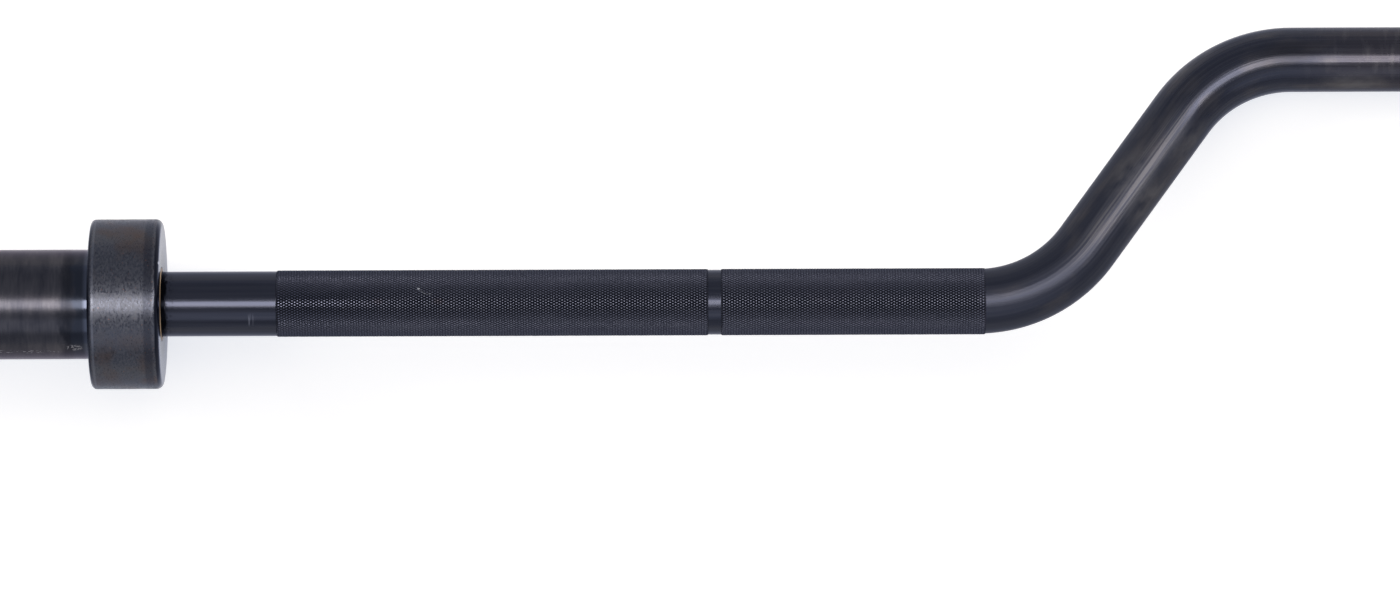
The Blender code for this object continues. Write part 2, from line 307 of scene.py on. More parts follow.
class RoundBlank:
    """Round work grown ring by ring in edit mode, by extruding, resizing and spinning its newest ring."""

    def __init__(self, name: str, start: Vector, radius: float, sides: int) -> None:
        """Adds the first ring, square to X.

        Args:
            name: Name of the finished piece.
            start: Centre of the ring.
            radius: Radius of the ring.
            sides: Number of flat sides.
        """
        upright = (0, math.pi / 2, 0)
        bpy.ops.object.select_all(action="DESELECT")
        bpy.ops.mesh.primitive_circle_add(
            vertices=sides, radius=radius, fill_type="NOTHING", location=start, rotation=upright
        )
        self.piece = bpy.context.object
        rename(self.piece, name)
        bpy.ops.object.transform_apply(location=True, rotation=True, scale=True)
        start_editing()
        self.centre = Vector(start)
        self.heading = Vector((1, 0, 0))
        self.radius = radius

    def grow(self, length: float, radius: float | None = None) -> None:
        """Goes straight on, and takes the given radius at the far end.

        Args:
            length: Distance to go, which is 0 for a square shoulder.
            radius: Radius of the new ring, or None to keep it.
        """
        step = self.heading * length
        bpy.ops.mesh.extrude_region_move(TRANSFORM_OT_translate={"value": step})
        self.centre = self.centre + step
        if radius is not None and abs(radius - self.radius) > 1e-9:
            factor = radius / self.radius
            bpy.ops.transform.resize(value=(factor, factor, factor), center_override=self.centre)
            self.radius = radius

    def grow_to(self, place: float, radius: float | None = None) -> None:
        """Goes along X as far as a place."""
        self.grow((place - self.centre.x) * self.heading.x, radius)

    def step_at(self, place: float, radius: float) -> None:
        """Goes along X as far as a place, and makes a square shoulder there."""
        self.grow_to(place)
        self.grow(0, radius)

    def bend(self, angle: float, bend_radius: float, steps: int) -> None:
        """Spins the newest ring round a bend in the XY plane.

        Args:
            angle: Angle of the bend, to the left where it is positive.
            bend_radius: Radius of the centre line in the bend.
            steps: Number of rings that the bend is made of.
        """
        left = Vector((-self.heading.y, self.heading.x, 0))
        pivot = self.centre + left * math.copysign(bend_radius, angle)
        bpy.ops.mesh.spin(steps=steps, angle=-angle, center=pivot, axis=(0, 0, 1))
        turn = Matrix.Rotation(angle, 3, "Z")
        self.centre = pivot + turn @ (self.centre - pivot)
        self.heading = turn @ self.heading

    def cap(self) -> None:
        """Closes the newest ring with a flat end."""
        bpy.ops.mesh.edge_face_add()

    def cap_start(self) -> None:
        """Closes the first ring, which is the only open edge left once the newest is capped."""
        select_open_edges()
        bpy.ops.mesh.edge_face_add()

    def join_to_start(self) -> None:
        """Closes a hollow piece whose last ring lies on its first."""
        bpy.ops.mesh.select_all(action="SELECT")
        bpy.ops.mesh.remove_doubles(threshold=0.001 * MM)

    def finish(self, edge: float) -> Piece:
        """Breaks the sharp edges, ends edit mode and shades the piece.

        Args:
            edge: Width that the break takes from each face.

        Returns:
            The finished piece.
        """
        break_edges(edge)
        end_editing()
        bpy.ops.object.shade_smooth_by_angle(angle=SMOOTH_UP_TO)
        return self.piece


def turned_ring(name: str, outline: Iterable[Span], sides: int, edge: float) -> Piece:
    """Turns a hollow piece about X from its closed outline.

    Args:
        name: Name of the piece.
        outline: Places along X and radii, once round the section.
        sides: Number of flat sides.
        edge: Width of the break along its sharp edges.

    Returns:
        The piece, centred on X.
    """
    first, *others = outline
    blank = RoundBlank(name, Vector((first[0], 0, 0)), first[1], sides)
    for place, radius in (*others, first):
        blank.grow_to(place, radius)
    blank.join_to_start()
    return blank.finish(edge)


def linear(colour: str) -> tuple[float, float, float, float]:
    """Turns an sRGB hex colour to linear light.

    Args:
        colour: Six hex digits after a #.

    Returns:
        Red, green, blue and alpha.
    """
    parts = [int(colour[index : index + 2], 16) / 255 for index in (1, 3, 5)]
    light = [part / 12.92 if part <= 0.04045 else ((part + 0.055) / 1.055) ** 2.4 for part in parts]
    return (light[0], light[1], light[2], 1.0)


def add_node(
    tree: Tree,
    kind: str,
    settings: dict[str | int, Any] | None = None,
    links: dict[str | int, Node | Socket] | None = None,
) -> Node:
    """Adds one node with its settings and links.

    Args:
        tree: Node tree to add it to.
        kind: Blender's name for the node type.
        settings: Node properties and input values by name, or input values by number. A # starts a colour.
        links: What feeds its inputs, by name or number. A node stands for its first output in use.

    Returns:
        The node.
    """
    made = tree.nodes.new(kind)

    def find(key: str | int) -> Socket | None:
        """Finds an input by its number, or by its name among those in use."""
        if isinstance(key, int):
            return made.inputs[key]
        return next((each for each in made.inputs if each.name == key and each.enabled), None)

    for key, value in (settings or {}).items():
        if isinstance(value, str) and value.startswith("#"):
            value = linear(value)
        target = find(key)
        if target is None:
            setattr(made, key, value)
        else:
            target.default_value = value
    for key, source in (links or {}).items():
        if isinstance(source, Node):
            source = next(each for each in source.outputs if each.enabled)
        tree.links.new(source, find(key))
    return made


@dataclass(frozen=True)
class Painter:
    """Makes patterns from 0 to 1 on one node tree, over coordinates in millimetres where they need some."""

    tree: Tree
    place: Node | None = None

    @classmethod
    def around_axis(cls, tree: Tree) -> Painter:
        """Paints over Object coordinates, measured from the sleeves' axis."""
        place = add_node(tree, "ShaderNodeTexCoord").outputs["Object"]
        settings = {"Location": -LAYOUT.axis / MM, "Scale": (1 / MM,) * 3}
        return cls(tree, add_node(tree, "ShaderNodeMapping", settings, {"Vector": place}))

    @classmethod
    def along_bar(cls, tree: Tree) -> Painter:
        """Paints over the shaft's unbent places, so that a pattern follows the bends."""
        place = add_node(tree, "ShaderNodeAttribute", {"attribute_name": "bar_place"}).outputs["Vector"]
        return cls(tree, add_node(tree, "ShaderNodeMapping", {"Scale": (1 / MM,) * 3}, {"Vector": place}))

    def _mottle(self, size: Triple, detail: float) -> Node:
        """Gives soft noise about 0.5 whose patches have the given size.

        Args:
            size: Size of a patch along X, Y and Z.
            detail: Number of finer layers in the noise.

        Returns:
            The node that gives the noise.
        """
        scale = tuple(1 / part for part in size)
        sized = add_node(self.tree, "ShaderNodeMapping", {"Scale": scale}, {"Vector": self.place})
        return add_node(self.tree, "ShaderNodeTexNoise", {"Scale": 1.0, "Detail": detail}, {"Vector": sized})

    def blotches(self, size: Triple, span: Span, detail: float) -> Node:
        """A pattern of soft patches.

        Args:
            size: Size of a patch along X, Y and Z.
            span: Noise values that give 0 and 1. The closer they are, the sharper is the edge of a patch.
            detail: Number of finer layers in the noise.

        Returns:
            The node that gives the pattern.
        """
        limits = {"From Min": span[0], "From Max": span[1]}
        return add_node(self.tree, "ShaderNodeMapRange", limits, {"Value": self._mottle(size, detail)})

    def scratches(self, size: Triple, width: float, detail: float) -> Node:
        """Thin curved lines, which run where a soft pattern crosses its middle value.

        Args:
            size: Size of the pattern's patches along X, Y and Z.
            width: Width of a line as a share of a patch.
            detail: Number of finer layers in the noise.

        Returns:
            The node that gives the lines.
        """
        off = self.summed((1.0, self._mottle(size, detail)), base=-0.5)
        away = add_node(self.tree, "ShaderNodeMath", {"operation": "ABSOLUTE"}, {0: off})
        limits = {"From Min": width, "From Max": 0.3 * width}
        return add_node(self.tree, "ShaderNodeMapRange", limits, {"Value": away})

    def spot(self, centre: Triple, reach: Triple, softness: float = 0.5) -> Node:
        """A rounded area that is 1 inside and 0 outside.

        Args:
            centre: Middle of the area.
            reach: Half its size along X, Y and Z.
            softness: Share of the reach over which it fades.

        Returns:
            The node that gives the area.
        """
        settings = {
            "Location": tuple(-middle / half for middle, half in zip(centre, reach)),
            "Scale": tuple(1 / half for half in reach),
        }
        sized = add_node(self.tree, "ShaderNodeMapping", settings, {"Vector": self.place})
        away = add_node(self.tree, "ShaderNodeVectorMath", {"operation": "LENGTH"}, {0: sized})
        fade = {"From Min": 1.0, "From Max": 1.0 - softness, "interpolation_type": "SMOOTHSTEP"}
        return add_node(self.tree, "ShaderNodeMapRange", fade, {"Value": away})

    def aside(self, axis: str) -> Node:
        """Gives the distance in millimetres from the middle of the bar along X, Y or Z."""
        parts = add_node(self.tree, "ShaderNodeSeparateXYZ", None, {0: self.place})
        return add_node(self.tree, "ShaderNodeMath", {"operation": "ABSOLUTE"}, {0: parts.outputs[axis]})

    def from_middle(self, start: float, stop: float, ragged: Node | None = None) -> Node:
        """Rises from 0 to 1 between two distances from the middle of the bar.

        Args:
            start: Distance that gives 0.
            stop: Distance that gives 1.
            ragged: Pattern that shifts the edge outwards by up to its width.

        Returns:
            The node that gives the value.
        """
        away = self.aside("X")
        if ragged is not None:
            away = self.summed((1.0, away), (-abs(stop - start), ragged))
        settings = {"From Min": start, "From Max": stop, "interpolation_type": "SMOOTHSTEP"}
        return add_node(self.tree, "ShaderNodeMapRange", settings, {"Value": away})

    def band(self, edges: Band, ragged: Node | None = None) -> Node:
        """A band round the bar.

        Args:
            edges: Distances from the middle of the bar where it starts, is full, begins to fade and is gone.
            ragged: Pattern that shifts both edges outwards by up to their width.

        Returns:
            The node that gives the band.
        """
        rise, top, fall, foot = edges
        return self.shared(1.0, self.from_middle(rise, top, ragged), self.from_middle(foot, fall, ragged))

    def from_axis(self, start: float, stop: float) -> Node:
        """Rises from 0 to 1 between two radii.

        Args:
            start: Radius that gives 0.
            stop: Radius that gives 1.

        Returns:
            The node that gives the value.
        """
        across = {"operation": "MULTIPLY", 1: (0, 1, 1)}
        flat = add_node(self.tree, "ShaderNodeVectorMath", across, {0: self.place})
        radius = add_node(self.tree, "ShaderNodeVectorMath", {"operation": "LENGTH"}, {0: flat})
        limits = {"From Min": start, "From Max": stop}
        return add_node(self.tree, "ShaderNodeMapRange", limits, {"Value": radius})

    def shared(self, strength: float, *patterns: Node | Socket) -> Node:
        """Keeps a pattern only where the others are 1 too.

        Args:
            strength: Value where every pattern is 1.
            patterns: The patterns.

        Returns:
            The node that gives their product.
        """
        first, *others = patterns
        product = add_node(self.tree, "ShaderNodeMath", {"operation": "MULTIPLY", 1: strength}, {0: first})
        for pattern in others:
            links = {0: pattern, 1: product}
            product = add_node(self.tree, "ShaderNodeMath", {"operation": "MULTIPLY"}, links)
        return product

    def strongest(self, *patterns: Node | Socket) -> Node:
        """Gives whichever pattern is the highest at each place.

        Args:
            patterns: The patterns.

        Returns:
            The node that gives the highest.
        """
        highest, *others = patterns
        for pattern in others:
            links = {0: highest, 1: pattern}
            highest = add_node(self.tree, "ShaderNodeMath", {"operation": "MAXIMUM"}, links)
        return highest

    def summed(self, *terms: tuple[float, Node], base: float = 0.0) -> Node:
        """Adds patterns up.

        Args:
            terms: Weight and pattern of each.
            base: What is added to them.

        Returns:
            The node that gives the sum.
        """
        (weight, pattern), *others = terms
        settings = {"operation": "MULTIPLY_ADD", 1: weight, 2: base}
        total = add_node(self.tree, "ShaderNodeMath", settings, {0: pattern})
        for weight, pattern in others:
            settings = {"operation": "MULTIPLY_ADD", 1: weight}
            total = add_node(self.tree, "ShaderNodeMath", settings, {0: pattern, 2: total})
        return total

    def inverse(self, pattern: Node) -> Node:
        """Gives 1 where a pattern is 0, and 0 where it is 1 or more."""
        settings = {"operation": "SUBTRACT", 0: 1.0, "use_clamp": True}
        return add_node(self.tree, "ShaderNodeMath", settings, {1: pattern})

    def coated(self, base: str, *coats: tuple[str, Node]) -> Node:
        """Lays colours over a base colour in turn, each where its own pattern is 1.

        Args:
            base: The colour below.
            coats: Colour and pattern of each coat, the lowest first.

        Returns:
            The node that gives the colour.
        """
        (paint, pattern), *others = coats
        settings = {"data_type": "RGBA", "A": base, "B": paint}
        colour = add_node(self.tree, "ShaderNodeMix", settings, {"Factor": pattern})
        for paint, pattern in others:
            settings = {"data_type": "RGBA", "B": paint}
            colour = add_node(self.tree, "ShaderNodeMix", settings, {"Factor": pattern, "A": colour})
        return colour


class Coat(NamedTuple):
    """What a finish paints. Dullness and relief go from 0 to 1, and height is that of relief 1 in metres."""

    colour: Node
    dullness: Node
    relief: Node
    height: float


@dataclass(frozen=True)
class Finish:
    """A metal's surface finish. Each kind paints its own coat on a fresh material.

    The film is the finish as it left the works, and worn is what handling brings out. Roughness goes from the
    smoothest to the dullest place. The rim is how much of a metal's bright edge at a glancing view is left.
    """

    name: str
    film: str
    worn: str
    roughness: Span
    rim: str = "#d6d9e4"

    def material(self) -> bpy.types.Material:
        """Makes the finish's material.

        Returns:
            A new material with the finish's nodes.
        """
        made = bpy.data.materials.new(self.name)
        made.use_nodes = True
        made.diffuse_color = linear(self.film)
        tree = made.node_tree
        coat = self.paint(Painter.around_axis(tree))
        limits = {"To Min": self.roughness[0], "To Max": self.roughness[1]}
        roughness = add_node(tree, "ShaderNodeMapRange", limits, {"Value": coat.dullness})
        height = {"Strength": 1.0, "Distance": coat.height}
        bump = add_node(tree, "ShaderNodeBump", height, {"Height": coat.relief})
        shader = tree.nodes["Principled BSDF"]
        shader.inputs["Metallic"].default_value = 1.0
        shader.inputs["Specular Tint"].default_value = linear(self.rim)
        for source, target in ((coat.colour, "Base Color"), (roughness, "Roughness"), (bump, "Normal")):
            tree.links.new(next(each for each in source.outputs if each.enabled), shader.inputs[target])
        return made

    def paint(self, on: Painter) -> Coat:
        """Paints the coat, which every kind of finish does in its own way.

        Args:
            on: Makes the patterns, round the sleeves' axis.

        Returns:
            The coat.
        """
        raise NotImplementedError


@dataclass(frozen=True)
class DrawnOxide(Finish):
    """Black oxide on cold-drawn bar: an oily satin with faint streaks along it, browned where it is lifted.

    The bending dies leave the camber duller than the necks, and very slightly ridged along its length.
    """

    # Near black: painted shade on the shaft at each collar, where the collar shades it, and real dark flecks
    # there
    collar_shade_and_flecks: str = "#0b0c10"
    satin: str = "#3c3d44"
    nick: str = "#75767e"
    rubbed: str = "#38363b"
    smudge: str = "#585657"
    scuffed: str = "#4b4a4d"
    # Painted shade: a darker patch on top of the bar where the raised part runs into the left upper bend
    bend_shade: str = "#22232a"
    ridge_height: float = 40.0
    satin_within: Span = (500.0, 460.0)
    camber_within: Span = (345.0, 300.0)
    slope: Band = (190.0, 215.0, 265.0, 295.0)
    die_marks: Band = (190.0, 215.0, 350.0, 385.0)
    rubbed_within: Span = (150.0, 104.0)
    shade_from_collar: Span = (3.3, 2.0)
    flecks_from_collar: Span = (7.0, 3.0)
    scuffed_at: Triple = (-241.0, -1.5, 14.0)
    bend_shade_at: Triple = (-142.0, -1.0, 14.8)
    nicked_at: Triple = (-615.9, -7.4, 12.8)
    smudged_at: tuple[Triple, ...] = (
        (-243.0, -9.5, 9.0),
        (-212.0, -9.0, 8.0),
        (-238.0, 4.0, 12.0),
        (-183.0, 12.5, 5.0),
        (-112.0, -11.0, 6.0),
    )

    def paint(self, on: Painter) -> Coat:
        """Paints streaks and ridges along the bar, smudges on the camber, and at each collar painted shade on
        the shaft with dark flecks.

        Args:
            on: Makes the patterns, round the sleeves' axis.

        Returns:
            The coat.
        """
        bar = Painter.along_bar(on.tree)
        streaks = bar.blotches((90, 1.3, 1.3), (0.36, 0.68), 3)
        handled = bar.blotches((26, 9, 9), (0.5, 0.72), 5)
        camber = bar.from_middle(*self.camber_within)
        rubbed = bar.shared(0.8, bar.from_middle(*self.rubbed_within))
        rub = bar.shared(0.3, bar.blotches((3, 11, 11), (0.5, 0.72), 4), rubbed)
        mottled = bar.blotches((9, 5, 5), (0.3, 0.62), 5)
        smudges = [bar.shared(0.75, bar.spot(centre, (22, 8, 9), 0.9), mottled) for centre in self.smudged_at]
        smudged = bar.strongest(rub, *smudges)
        scuffed = bar.blotches((70, 0.9, 0.9), (0.46, 0.6), 2)
        scuffed = bar.shared(0.8, scuffed, bar.spot(self.scuffed_at, (62, 6.5, 8)))
        nicks = bar.scratches((0.9, 40, 40), 0.05, 1)
        nicks = on.shared(0.6, nicks, on.spot(self.nicked_at, (2.4, 4.2, 4.2)))
        face = LAYOUT.inner_face / MM
        # Painted shade: near black for the last few millimetres of shaft before each collar's inner face
        edge, full = self.shade_from_collar
        oil = on.from_middle(face - edge, face - full, on.blotches((1.5, 2.5, 2.5), (0.35, 0.65), 3))
        edge, full = self.flecks_from_collar
        flecks = on.shared(
            0.9, on.blotches((0.7, 1.0, 1.0), (0.58, 0.64), 2), on.from_middle(face - edge, face - full)
        )
        colour = on.coated(
            self.film,
            (self.satin, bar.shared(0.15, bar.band(self.slope))),
            (self.satin, bar.shared(0.45, streaks)),
            (self.rubbed, rubbed),
            (self.worn, bar.shared(0.35, handled, camber)),
            (self.smudge, smudged),
            (self.scuffed, scuffed),
            # Painted shade at the start of the left upper bend
            (self.bend_shade, bar.shared(0.8, bar.spot(self.bend_shade_at, (24, 8, 8), 0.9))),
            (self.nick, nicks),
            (self.collar_shade_and_flecks, oil),
            (self.collar_shade_and_flecks, flecks),
        )
        dullness = bar.summed(
            (0.3, bar.from_middle(*self.satin_within)),
            (0.25, streaks),
            (0.5, bar.band(self.die_marks)),
            (0.6, smudged),
            (0.8, scuffed),
        )
        grain = bar.blotches((9, 0.5, 0.5), (0.3, 0.7), 2)
        ridges = bar.shared(self.ridge_height, bar.blotches((110, 2.6, 2.6), (0.3, 0.7), 2), camber)
        return Coat(colour, dullness, bar.summed((1.0, grain), (1.0, ridges)), 0.0015 * MM)


@dataclass(frozen=True)
class KnurlOxide(Finish):
    """Black oxide on cut knurling: crests that catch the light, over dull grooves whose darker colour is
    painted shade.
    """

    # Painted shade: the colour of the grooves, darker than the film on the crests
    groove: str = "#1e1f26"
    crest: str = "#52545f"
    bright: str = "#494b57"
    smudge: str = "#544b4e"
    scuff: str = "#a3a4a8"
    radii: Span = (14.79, 15.1)
    crest_radii: Span = (15.06, 15.11)
    bright_from: Span = (535.0, 590.0)
    smudges_at: tuple[Triple, ...] = ((-558.0, 0.9, 15.1), (-530.5, 0.9, 15.1))
    scuff_at: Triple = (-536.7, 5.0, 14.2)
    scuff_curl: Triple = (-534.35, 10.6, 12.0)
    scuff_rims: Span = (7.0, 6.5)
    dent_at: Triple = (-539.6, 6.6, 13.6)

    def paint(self, on: Painter) -> Coat:
        """Paints by height, darker towards the grooves as painted shade, with brighter crests near the neck,
        where hands seldom wet them, and a scuff.

        Args:
            on: Makes the patterns, round the sleeves' axis.

        Returns:
            The coat.
        """
        height = on.from_axis(*self.radii)
        crests = on.from_axis(*self.crest_radii)
        bright = on.shared(1.0, on.from_middle(*self.bright_from), crests)
        handled = on.shared(0.6, on.blotches((26, 7, 7), (0.5, 0.7), 4), height)
        smudges = [on.shared(0.5, on.spot(at, (3.4, 2.2, 2.2), 0.9), height) for at in self.smudges_at]
        outer, inner = (on.spot(self.scuff_curl, (rim, rim, 99), 0.09) for rim in self.scuff_rims)
        curl = on.summed((1.0, outer), (-1.0, inner))
        scuff = on.shared(0.5, curl, on.spot(self.scuff_at, (4.4, 3.4, 6.0)), height)
        dent = on.shared(0.8, on.spot(self.dent_at, (0.8, 0.6, 1.4)))
        colour = on.coated(
            # Painted shade: darker down in the grooves, up to the film towards the crests
            self.groove,
            (self.film, height),
            (self.worn, handled),
            (self.crest, crests),
            *((self.smudge, smudge) for smudge in smudges),
            (self.bright, bright),
            (self.scuff, on.strongest(scuff, dent)),
        )
        dullness = on.inverse(on.summed((0.3, crests), (0.75, bright)))
        grit = on.blotches((0.3, 0.3, 0.3), (0.3, 0.7), 2)
        return Coat(colour, dullness, grit, 0.008 * MM)


@dataclass(frozen=True)
class BrushedOxide(Finish):
    """Black oxide on a turned and brushed tube: fine rings round it, browned where plates slide on it."""

    fresh: str = "#272a32"
    grime: str = "#181a20"
    # Brighter ring at the foot of each collar: polish, and a painted highlight where the collar's fillet
    # meets the tube
    polish_and_highlight: str = "#3b3f4a"
    scuff: str = "#7d7c81"
    plates_reach: Span = (690.0, 697.5)
    grime_ring: Band = (693.6, 696.4, 697.2, 701.2)
    polish_and_highlight_ring: Span = (692.3, 690.1)
    scuff_at: Triple = (-696.0, -19.6, 15.3)
    rub_at: Triple = (-722.0, -21.4, 12.9)

    def paint(self, on: Painter) -> Coat:
        """Paints rings, wider bands and brown rubbing, which stop short of the collar, a scuff, and at the
        collar a brighter ring that is polish and painted highlight.

        Args:
            on: Makes the patterns, round the sleeves' axis.

        Returns:
            The coat.
        """
        rings = on.blotches((0.9, 7, 7), (0.3, 0.7), 4)
        bands = on.blotches((5, 46, 46), (0.36, 0.64), 3)
        rubs = on.blotches((9, 12, 12), (0.42, 0.68), 4)
        ragged = on.blotches((5, 8, 8), (0.3, 0.7), 5)
        plates = on.from_middle(*self.plates_reach, ragged)
        polish_and_highlight = on.from_middle(*self.polish_and_highlight_ring)
        squiggle = on.scratches((2.6, 1.9, 1.9), 0.07, 2)
        squiggle = on.shared(0.7, squiggle, on.spot(self.scuff_at, (4.6, 2.2, 2.8)))
        rubbed = on.blotches((1.8, 0.9, 0.9), (0.55, 0.62), 2)
        rubbed = on.shared(0.55, rubbed, on.spot(self.rub_at, (24.0, 1.2, 2.0)))
        scuffs = on.strongest(squiggle, rubbed)
        colour = on.coated(
            self.film,
            (self.worn, on.summed((0.36, bands), (0.432, rings), (0.288, rubs))),
            (self.fresh, on.inverse(plates)),
            (self.grime, on.shared(0.6, on.band(self.grime_ring, ragged))),
            # Polish and painted highlight beside the collar
            (self.polish_and_highlight, polish_and_highlight),
            (self.scuff, scuffs),
        )
        dullness = on.summed((1.0, scuffs), (0.35, plates), (-0.4, polish_and_highlight), base=0.4)
        return Coat(colour, dullness, rings, 0.002 * MM)


@dataclass(frozen=True)
class RoughTurnedOxide(Finish):
    """Black oxide on rough-turned, pitted steel: pits drawn out round it, brown stains, specks of rust."""

    pit: str = "#1c1d22"
    stain: str = "#473b35"
    rust: str = "#85573c"
    edge: str = "#1d1f27"
    # Painted reflection: a lighter bluish colour for the collar's inner face, as the pale floor shows in it
    face: str = "#4b4f63"
    nick: str = "#b9bcc6"
    rubbed: str = "#585a62"
    shade: str = "#282a32"
    flanks: Span = (8.0, 28.0)
    barrel_depth: Span = (0.42, 0.18)
    face_depth: Span = (0.35, 0.15)
    shade_ring: Band = (658.9, 660.1, 662.6, 663.8)
    rubbed_ring: Band = (685.7, 686.1, 686.7, 687.1)
    nicked_at: Triple = (-656.4, 18.6, 30.4)

    def paint(self, on: Painter) -> Coat:
        """Paints the pitted barrel, its stains and rust, its black edges, and on its faced inner side a
        lighter bluish colour that is painted reflection of the pale floor.

        Args:
            on: Makes the patterns, round the sleeves' axis.

        Returns:
            The coat.
        """
        mottle = on.blotches((0.8, 1.5, 1.5), (0.3, 0.7), 4)
        dashes = on.blotches((0.35, 1.4, 1.4), (0.635, 0.68), 2)
        stains = on.blotches((11, 12, 12), (0.44, 0.7), 5)
        specks = on.blotches((0.7, 0.7, 0.7), (0.75, 0.78), 1)
        limits = {"From Min": self.flanks[0], "From Max": self.flanks[1]}
        flanks = add_node(on.tree, "ShaderNodeMapRange", limits, {"Value": on.aside("Y")})
        barrel = on.from_axis(*(LAYOUT.collar_radius / MM - depth for depth in self.barrel_depth))
        colour = on.coated(
            self.film,
            (self.worn, mottle),
            (self.stain, on.shared(0.8, stains, flanks)),
            (self.shade, on.shared(0.6, on.band(self.shade_ring))),
            (self.pit, on.shared(0.85, dashes)),
            (self.rust, on.shared(0.8, specks)),
            (self.rubbed, on.shared(0.6, on.band(self.rubbed_ring))),
            (self.edge, on.inverse(barrel)),
            # Painted reflection on the inner face
            (self.face, on.from_middle(*(LAYOUT.inner_face / MM + depth for depth in self.face_depth))),
            (self.nick, on.spot(self.nicked_at, (1.0, 1.0, 2.6))),
        )
        dullness = on.shared(1.0, on.strongest(mottle, dashes), barrel)
        return Coat(colour, dullness, on.summed((1.0, mottle), (-1.0, dashes)), 0.0022 * MM)


@dataclass(frozen=True)
class SinteredBronze(Finish):
    """Oil-filled sintered bronze: a fine speckle of pores in a brown metal."""

    def paint(self, on: Painter) -> Coat:
        """Paints pores and a patchy oil film.

        Args:
            on: Makes the patterns, round the sleeves' axis.

        Returns:
            The coat.
        """
        pores = on.blotches((0.3, 0.3, 0.3), (0.45, 0.62), 2)
        oil = on.blotches((6, 6, 6), (0.4, 0.6), 3)
        colour = on.coated(self.film, (self.worn, on.summed((1.0, oil), (0.4, pores))))
        return Coat(colour, pores, pores, 0.003 * MM)


@dataclass(frozen=True)
class PhosphatedSpring(Finish):
    """Manganese phosphate on spring steel: a matt grey crystal coat, rubbed along its stamped edges."""

    def paint(self, on: Painter) -> Coat:
        """Paints the crystals and a few rubbed places.

        Args:
            on: Makes the patterns, round the sleeves' axis.

        Returns:
            The coat.
        """
        crystals = on.blotches((0.2, 0.2, 0.2), (0.35, 0.65), 2)
        rubs = on.blotches((3, 3, 3), (0.5, 0.66), 3)
        return Coat(on.coated(self.film, (self.worn, rubs)), crystals, crystals, 0.003 * MM)


# Black oxide on steel is a thin film, so it stays a metal: a very dark one, with a blue cast when fresh.
SHAFT_OXIDE = DrawnOxide("black_oxide_drawn_steel", "#2d2f38", "#55504d", (0.155, 0.42))
KNURL_OXIDE = KnurlOxide("black_oxide_knurled_steel", "#3d3f4a", "#464751", (0.22, 0.55), rim="#b2b7c3")
SLEEVE_OXIDE = BrushedOxide("black_oxide_brushed_steel", "#292a31", "#424145", (0.11, 0.31), rim="#dedbe6")
COLLAR_OXIDE = RoughTurnedOxide("black_oxide_rough_turned_steel", "#3a3c44", "#494a4f", (0.2, 0.44))
BRONZE = SinteredBronze("sintered_oiled_bronze", "#7a664f", "#988269", (0.3, 0.5))
SPRING = PhosphatedSpring("phosphated_spring_steel", "#333335", "#55555a", (0.4, 0.6))


@dataclass(frozen=True)
class StudioPaper:
    """Seamless white paper: it shows white to the camera and in reflections, and keeps a faint bluish shadow.

    Part of its white is its own, and the rest is light that it reflects, so a shadow takes only that away.
    """

    name: str = "white_seamless_paper"
    own_white: str = "#f2f6ff"
    own_share: float = 0.785
    reflected: str = "#fff3dd"
    reflected_share: float = 0.5

    def material(self) -> bpy.types.Material:
        """Makes the paper's material.

        Returns:
            A new material with the paper's nodes.
        """
        made = bpy.data.materials.new(self.name)
        made.use_nodes = True
        made.diffuse_color = linear(self.reflected)
        tree = made.node_tree
        on = Painter(tree)
        rays = add_node(tree, "ShaderNodeLightPath").outputs
        seen = on.strongest(*(rays[f"Is {kind} Ray"] for kind in ("Camera", "Glossy", "Transmission")))
        strength = on.shared(self.own_share, seen)
        own = add_node(tree, "ShaderNodeEmission", {"Color": self.own_white}, {"Strength": strength})
        lit = tuple(self.reflected_share * part for part in linear(self.reflected)[:3]) + (1.0,)
        paper = add_node(tree, "ShaderNodeBsdfDiffuse", {"Color": lit})
        both = add_node(tree, "ShaderNodeAddShader", None, {0: own, 1: paper})
        tree.nodes.remove(tree.nodes["Principled BSDF"])
        tree.links.new(both.outputs[0], tree.nodes["Material Output"].inputs["Surface"])
        return made


def hand_over(piece: Piece, finish: Finish, node: str, body: Body) -> None:
    """Gives a finished piece its material and its place in the frame, and logs it.

    Args:
        piece: The mesh object.
        finish: Its surface.
        node: The CAD node that it stands for.
        body: The body that it rides on.
    """
    piece.data.materials.clear()
    piece.data.materials.append(finish.material())
    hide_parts(node)
    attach(piece, body.value)
    LOG.info("%s: %s, %d faces, for %s", piece.name, finish.name, len(piece.data.polygons), node)


